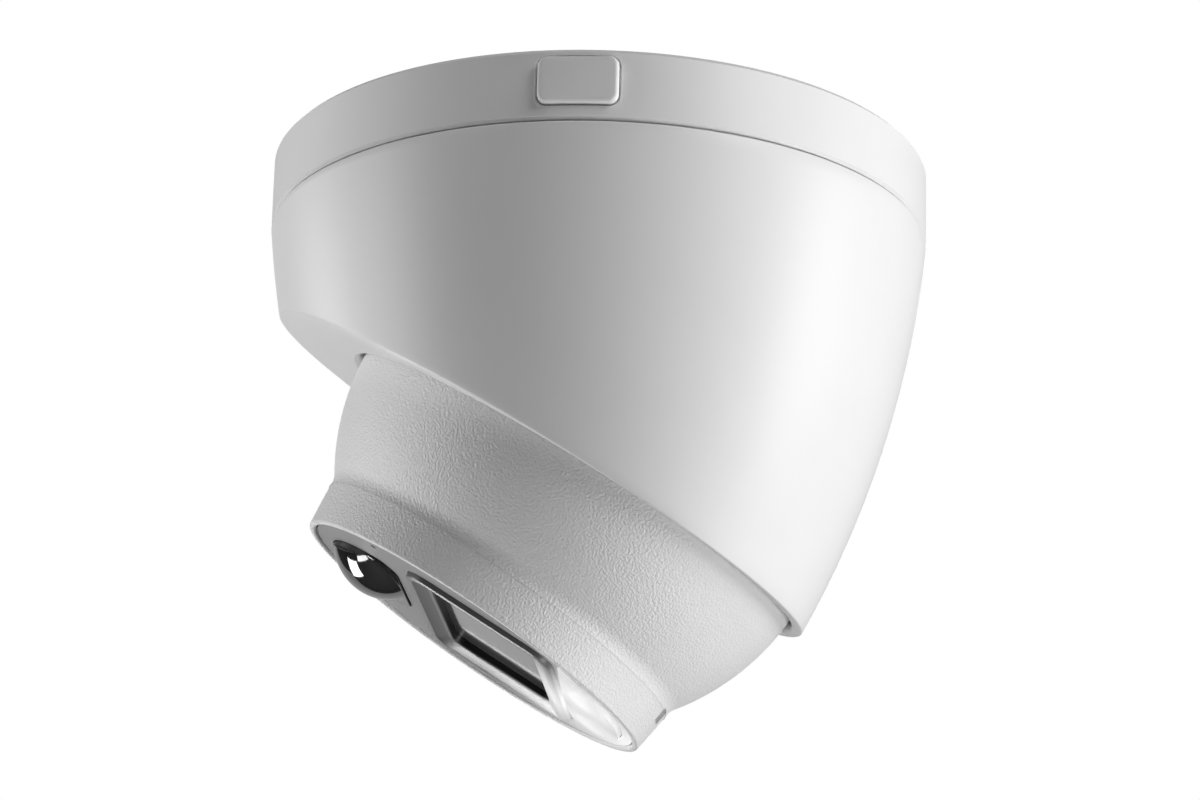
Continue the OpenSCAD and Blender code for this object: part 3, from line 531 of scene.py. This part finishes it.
class Finish:
    def __init__(self, name, fixed):
        self.material = bpy.data.materials.new(name)
        self.material.use_nodes = True
        self.tree = self.material.node_tree
        self.shader = self.tree.nodes["Principled BSDF"]
        for socket, value in fixed.items():
            self.shader.inputs[socket].default_value = value
        self.place = self.node("ShaderNodeTexCoord", output="Object")

    def node(self, kind, settings=None, inputs=None, output=0):
        """Adds a node: its settings first, then the values or wires of its sockets."""
        made = self.tree.nodes.new(kind)
        for key, value in (settings or {}).items():
            if key == "stops":
                self.set_stops(made.color_ramp, value)
            else:
                setattr(made, key, value)
        for key, value in (inputs or {}).items():
            if isinstance(value, Wire):
                self.tree.links.new(value.socket, made.inputs[key])
            else:
                made.inputs[key].default_value = value
        return Wire(self, made.outputs[output])

    def set_stops(self, ramp, stops):
        while len(ramp.elements) < len(stops):
            ramp.elements.new(0.5)
        for element, (position, colour) in zip(ramp.elements, stops):
            element.position, element.color = position, colour

    def feed(self, socket, wire):
        self.tree.links.new(wire.socket, self.shader.inputs[socket])
        return self

    def noise(self, scale, detail=2.0, rough=0.5):
        return self.node("ShaderNodeTexNoise", None,
                         {"Vector": self.place, "Scale": scale, "Detail": detail, "Roughness": rough})

    def ramp(self, wire, stops):
        return self.node("ShaderNodeValToRGB", {"stops": stops}, {0: wire})

    def blend(self, factor, first, second):
        """Mixes two colours or colour wires by a factor."""
        return self.node("ShaderNodeMix", {"data_type": "RGBA"}, {0: factor, 6: first, 7: second}, 2)

    def bump(self, height, depth, strength=1.0):
        return self.feed("Normal", self.node(
            "ShaderNodeBump", None, {"Height": height, "Distance": depth, "Strength": strength}))

    def above(self, point, direction, low, high):
        """Zero below one height over a plane, one above another."""
        offset = self.node("ShaderNodeVectorMath", {"operation": "SUBTRACT"},
                           {0: self.place, 1: tuple(point)})
        height = self.node("ShaderNodeVectorMath", {"operation": "DOT_PRODUCT"},
                           {0: offset, 1: tuple(direction)}, "Value")
        return self.node("ShaderNodeMapRange", {"clamp": True},
                         {"Value": height, "From Min": low, "From Max": high, "To Min": 0.0, "To Max": 1.0})

    def near(self, point, reach):
        """One at a point, falling to zero at a distance of reach."""
        far = self.node("ShaderNodeVectorMath", {"operation": "DISTANCE"},
                        {0: self.place, 1: tuple(point)}, "Value")
        return self.node("ShaderNodeMapRange", {"clamp": True},
                         {"Value": far, "From Min": reach, "From Max": 0.0, "To Min": 0.0, "To Max": 1.0})


def grey(value, warm=0.0):
    return (value + warm, value, value - warm, 1)


# %% [markdown]
# ## White plastics
# The shell is a satin moulded plastic with an almost invisible fine grain; the head is the same
# plastic out of a spark-eroded mould, which leaves a leathery orange-peel texture. Both are noise
# on object coordinates: small in scale, a few hundredths of a millimetre deep, with a slow mottling
# of the colour and the gloss so that no patch is perfectly even.

# %% Shell and textured housing
def white_shell():
    finish = Finish("shell_white", {"IOR": 1.48, "Specular IOR Level": 0.42})
    mottle = finish.noise(60, 3)
    grain = finish.noise(2600, 2)
    finish.feed("Base Color", finish.blend(mottle, grey(0.80), grey(0.83)))
    finish.feed("Roughness", 0.36 + 0.06 * mottle + 0.05 * grain)
    finish.bump(grain, 0.006 * mm, 0.7)
    return finish.material


def white_textured():
    finish = Finish("housing_texture", {"IOR": 1.48, "Specular IOR Level": 0.45})
    mottle = finish.noise(70, 3)
    peel = finish.noise(2300, 2.0, 0.45)
    finish.feed("Base Color", finish.blend(mottle, grey(0.79), grey(0.82)))
    finish.feed("Roughness", 0.40 + 0.08 * mottle)
    finish.bump(peel, 0.21 * mm, 1.0)
    return finish.material


# %% [markdown]
# ## The face
# The face plate is matt grey, fading to white where the warning lights shine across it. The light
# itself is part of the material: its glow depends on how far a point is from the middle of the
# light cover, so it stays put on the piece when the head moves.

# %% Face plate, bezel and light cover
glow_centre = face_place @ Vector((-6 * mm, 27 * mm, 0))
face_out = face_place.to_3x3() @ Vector((0, 0, 1))


def lit_plastic(name, colour, roughness, grain_depth, glow_reach, glow_power):
    finish = Finish(name, {"Specular IOR Level": 0.5, "Emission Strength": 1.0})
    grain = finish.noise(2200, 2)
    glow = finish.near(glow_centre, glow_reach) ** glow_power
    # Painted shade: every surface more than 0.9 mm behind the face, in the window opening and the gaps of the
    # face, is near black and gets no glow.
    clear_of_recess_shade = finish.above(face_place @ Vector(), face_out, -0.9 * mm, -0.55 * mm)
    # Painted light: near the light cover the base colour fades to white and the emission rises, as if the warning
    # lights shone across the face.
    painted_glow_tone = finish.blend(glow, grey(colour), grey(0.85))
    finish.feed("Base Color", finish.blend(clear_of_recess_shade, grey(0.008), painted_glow_tone))
    finish.feed("Emission Color", finish.blend(glow * clear_of_recess_shade, grey(0), grey(0.58)))
    finish.feed("Roughness", roughness + 0.08 * grain)
    finish.bump(grain, grain_depth, 0.7)
    return finish.material


def light_diffuser():
    finish = Finish("light_milk", {"Coat Weight": 0.15, "Coat Roughness": 0.25, "Emission Strength": 1.0})
    swirl = finish.noise(240, 2)
    left, right = (finish.near(face_place @ Vector((x * mm, 26 * mm, 0.5 * mm)), 11 * mm)
                   for x in (-9, 9))
    finish.feed("Base Color", finish.blend(swirl, grey(0.76), grey(0.86)))
    # Painted glow: the emission is light painted into the cover, faint all over and strongest in two soft spots
    # over the warning lights behind it.
    finish.feed("Emission Color", finish.blend(left + right, grey(0.10), grey(0.42)))
    finish.feed("Roughness", 0.42 + 0.1 * swirl)
    return finish.material


def black_gloss():
    finish = Finish("sensor_black", {"IOR": 1.5, "Coat Weight": 0.25, "Coat Roughness": 0.02})
    haze = finish.noise(160, 2)
    finish.feed("Base Color", finish.blend(haze, grey(0.006), grey(0.011)))
    finish.feed("Roughness", 0.04 + 0.04 * haze)
    return finish.material


def window_pane():
    finish = Finish("pane_grey", {"IOR": 1.52, "Coat Weight": 0.6, "Coat Roughness": 0.03})
    haze = finish.noise(45, 2)
    finish.feed("Base Color", finish.blend(haze, grey(0.10), grey(0.13)))
    finish.feed("Roughness", 0.08 + 0.03 * haze)
    return finish.material


# %% [markdown]
# ## Finishes of the inside and back
# The other pieces keep their CAD shape and get a finish that tells what they are made of: rubber
# with a dull bloom, turned and pressed metal, circuit boards, moulded chips. One recipe with a few
# numbers serves them all.

# %% A recipe for plain materials
def plain_finish(name, dark, light, scale, roughness, depth, metal=0.0, coat=0.0):
    """A material whose colour and gloss drift between two tones, with a fine bump."""
    finish = Finish(name, {"Metallic": metal, "Coat Weight": coat})
    drift = finish.noise(scale, 3)
    grain = finish.noise(scale * 9, 2)
    finish.feed("Base Color", finish.blend(drift, dark, light))
    finish.feed("Roughness", roughness + 0.1 * drift)
    finish.bump(grain, depth, 0.6)
    return finish.material


def circuit_board():
    finish = Finish("board_green", {"Coat Weight": 0.3})
    tracks = finish.node("ShaderNodeTexBrick", {"offset": 0.5}, {
        "Vector": finish.place, "Scale": 260.0, "Color1": grey(0), "Color2": grey(0.3),
        "Mortar": grey(1), "Mortar Size": 0.03})
    drift = finish.noise(90)
    green = finish.blend(drift, (0.010, 0.09, 0.035, 1), (0.016, 0.13, 0.05, 1))
    finish.feed("Base Color", finish.blend(tracks, green, (0.05, 0.26, 0.10, 1)))
    finish.feed("Roughness", 0.32 + 0.12 * drift)
    return finish.material


finishes = {
    "white_shell": white_shell(),
    "white_textured": white_textured(),
    "face_grey": lit_plastic("plate_grey", 0.19, 0.46, 0.006 * mm, 38 * mm, 1.2),
    "bezel_grey": lit_plastic("bezel_dark", 0.10, 0.32, 0.003 * mm, 32 * mm, 1.2),
    "light_diffuser": light_diffuser(),
    "black_gloss": black_gloss(),
    "window_glass": window_pane(),
    "black_matte": plain_finish("black_matt", grey(0.012), grey(0.022), 300, 0.5, 0.01 * mm),
    "lens_glass": plain_finish("lens_dark", (0.01, 0.012, 0.03, 1), (0.02, 0.02, 0.05, 1), 80, 0.03,
                               0.0005 * mm, coat=1.0),
    "led_yellow": plain_finish("led_yellow", (0.75, 0.5, 0.05, 1), (0.85, 0.62, 0.12, 1), 500, 0.3,
                               0.002 * mm),
    "reflector_white": plain_finish("reflector", grey(0.8), grey(0.86), 200, 0.25, 0.002 * mm),
    "rubber_black": plain_finish("rubber_black", grey(0.015), grey(0.03), 150, 0.7, 0.02 * mm),
    "rubber_grey": plain_finish("rubber_grey", grey(0.10), grey(0.14), 150, 0.7, 0.02 * mm),
    "steel_bright": plain_finish("steel", grey(0.55), grey(0.62), 400, 0.25, 0.004 * mm, metal=1.0),
    "aluminium_plain": plain_finish("aluminium", grey(0.6), grey(0.68), 250, 0.38, 0.006 * mm, metal=1.0),
    "board_green": circuit_board(),
    "chip_black": plain_finish("chip", grey(0.02), grey(0.03), 700, 0.5, 0.006 * mm),
    "ivory_plastic": plain_finish("ivory", (0.68, 0.64, 0.52, 1), (0.74, 0.70, 0.58, 1), 120, 0.42,
                                  0.006 * mm),
    "pad_blue": plain_finish("pad_blue", (0.12, 0.25, 0.45, 1), (0.16, 0.30, 0.5, 1), 260, 0.75,
                             0.015 * mm),
    "brass_plain": plain_finish("brass", (0.62, 0.47, 0.2, 1), (0.7, 0.54, 0.25, 1), 300, 0.3,
                                0.004 * mm, metal=1.0),
}
print("finishes:", len(finishes))

# %% [markdown]
# ## Putting the finishes on
# The record names the material slot of every CAD node, and each new piece was given its slot when
# it was made. One loop therefore dresses both.

# %% Dress the nodes and pieces
slots_of_nodes = {part["node"]: part["material_slot"] for part in frame["record"]["subparts"]}
new_pieces = [cover_shell, housing, bezel, glass, dome, lights, plug]


def dress(thing, slot):
    """Gives a piece one finish and nothing else."""
    thing.data.materials.clear()
    thing.data.materials.append(finishes[slot])


for node, thing in frame["nodes"].items():
    dress(thing, slots_of_nodes[node])
for thing in new_pieces:
    dress(thing, thing["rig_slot"])
print("dressed", len(frame["nodes"]) + len(new_pieces))

# %% [markdown]
# ## Floor and background
# The product hangs in a white studio. A pale floor lies well below it, and a large white shell far
# away closes the view. The shell is seen by the camera but sends no light, so it can be plain white
# without washing out the shading of the white plastic.

# %% Studio
def stage_piece(name, shape, finish):
    mesh = bpy.data.meshes.new(name)
    shape.to_mesh(mesh)
    shape.free()
    mesh.materials.append(finish)
    piece = bpy.data.objects.new(name, mesh)
    bpy.context.scene.collection.objects.link(piece)
    return piece


def studio_floor():
    shape = bmesh.new()
    bmesh.ops.create_circle(shape, cap_ends=True, segments=96, radius=3.6)
    bmesh.ops.translate(shape, vec=(0, 0, -1.5), verts=shape.verts)
    finish = Finish("floor_pale", {})
    drift = finish.noise(3)
    finish.feed("Base Color", finish.blend(drift, grey(0.86), grey(0.9)))
    finish.feed("Roughness", 0.6 + 0.1 * drift)
    return stage_piece("studio_floor", shape, finish.material)


def studio_shell():
    shape = bmesh.new()
    bmesh.ops.create_icosphere(shape, subdivisions=4, radius=4.0)
    bmesh.ops.reverse_faces(shape, faces=shape.faces)
    finish = Finish("white_far", {"Base Color": grey(0), "Roughness": 1.0, "Specular IOR Level": 0.0,
                                  "Emission Color": grey(1), "Emission Strength": 1.0})
    shell = stage_piece("studio_shell", shape, finish.material)
    for seen in ("visible_diffuse", "visible_glossy", "visible_transmission", "visible_shadow"):
        setattr(shell, seen, False)
    return shell


floor = studio_floor()
shell = studio_shell()

# %% [markdown]
# ## Light
# Three soft lights on the right, level, low and high, give the cover and the ball their bright flank.
# Two on the left lift the other edge, and the band between them falls into grey: that is what makes
# a white cylinder look round. All of them are the same softbox at the same distance. Three more
# cards only show in reflections: one lies behind the grey face, two glint in the sensor lens.

# %% Softboxes
target = Vector((0, 0, -55 * mm))


def softbox(name, turn, rise, far, size, power):
    """A square light that looks at the camera, placed by its turn and rise round it."""
    turn, rise = math.radians(turn), math.radians(rise)
    back = Vector((math.sin(turn) * math.cos(rise), -math.cos(turn) * math.cos(rise), math.sin(rise)))
    lamp = bpy.data.lights.new(name, "AREA")
    lamp.shape = "RECTANGLE"
    lamp.size, lamp.size_y = size
    lamp.energy = power
    holder = bpy.data.objects.new(name, lamp)
    holder.location = target + back * far
    holder.rotation_euler = back.to_track_quat("Z", "Y").to_euler()
    bpy.context.scene.collection.objects.link(holder)
    return holder


box_far, box_size = 1.3, (0.5, 0.7)
LIGHTS = [
    ("right_flank", 180, 0, box_far, box_size, 8.4),
    ("right_low", 175, -45, box_far, box_size, 8.1),
    ("right_high", 150, 40, box_far, box_size, 7.7),
    ("left_edge", -10, 0, box_far, box_size, 7.0),
    ("left_flank", 20, 0, box_far, box_size, 5.8),
]
for light in LIGHTS:
    softbox(*light)

GLINTS = [
    ("face_card", -71, 3, box_far, (0.9, 0.9), 1.1),
    ("lens_card", -46, -24, box_far, (0.34, 0.34), 4.2),
    ("lens_strip", -34, -43, box_far, (0.12, 0.40), 1.7),
]
for glint in GLINTS:
    card = softbox(*glint)
    card.visible_diffuse = False
    card.visible_transmission = False

world = bpy.data.worlds.new("studio_air")
world.use_nodes = True
world.node_tree.nodes["Background"].inputs["Color"].default_value = grey(0.05)
bpy.context.scene.world = world
print("lights:", len(LIGHTS))

# %% [markdown]
# ## Camera
# The product is seen from its side and from well below, as a person standing under it would look
# up, with a long lens that keeps the rings nearly parallel. The slight roll follows from a camera
# that is not quite level. Standard colour keeps white plastic white.

# %% Camera
camera_turn, camera_rise, camera_roll = math.radians(99.1), math.radians(-18.5), math.radians(1.62)
camera_far = 0.9


def product_camera():
    back = Vector((math.sin(camera_turn) * math.cos(camera_rise),
                   -math.cos(camera_turn) * math.cos(camera_rise), math.sin(camera_rise)))
    right = (-back).cross(Vector((0, 0, 1))).normalized()
    up = right.cross(-back)
    rolled_right = right * math.cos(camera_roll) + up * math.sin(camera_roll)
    rolled_up = up * math.cos(camera_roll) - right * math.sin(camera_roll)
    lens = bpy.data.cameras.new("product_view")
    lens.sensor_width = 36
    lens.lens = 146.2
    lens.shift_x, lens.shift_y = 0.00625, 0.045
    view = bpy.data.objects.new("product_view", lens)
    bpy.context.scene.collection.objects.link(view)
    place = Matrix((rolled_right, rolled_up, back)).transposed().to_4x4()
    place.translation = target + back * camera_far
    view.matrix_world = place
    return view


bpy.context.scene.camera = product_camera()
bpy.context.scene.view_settings.view_transform = "Standard"
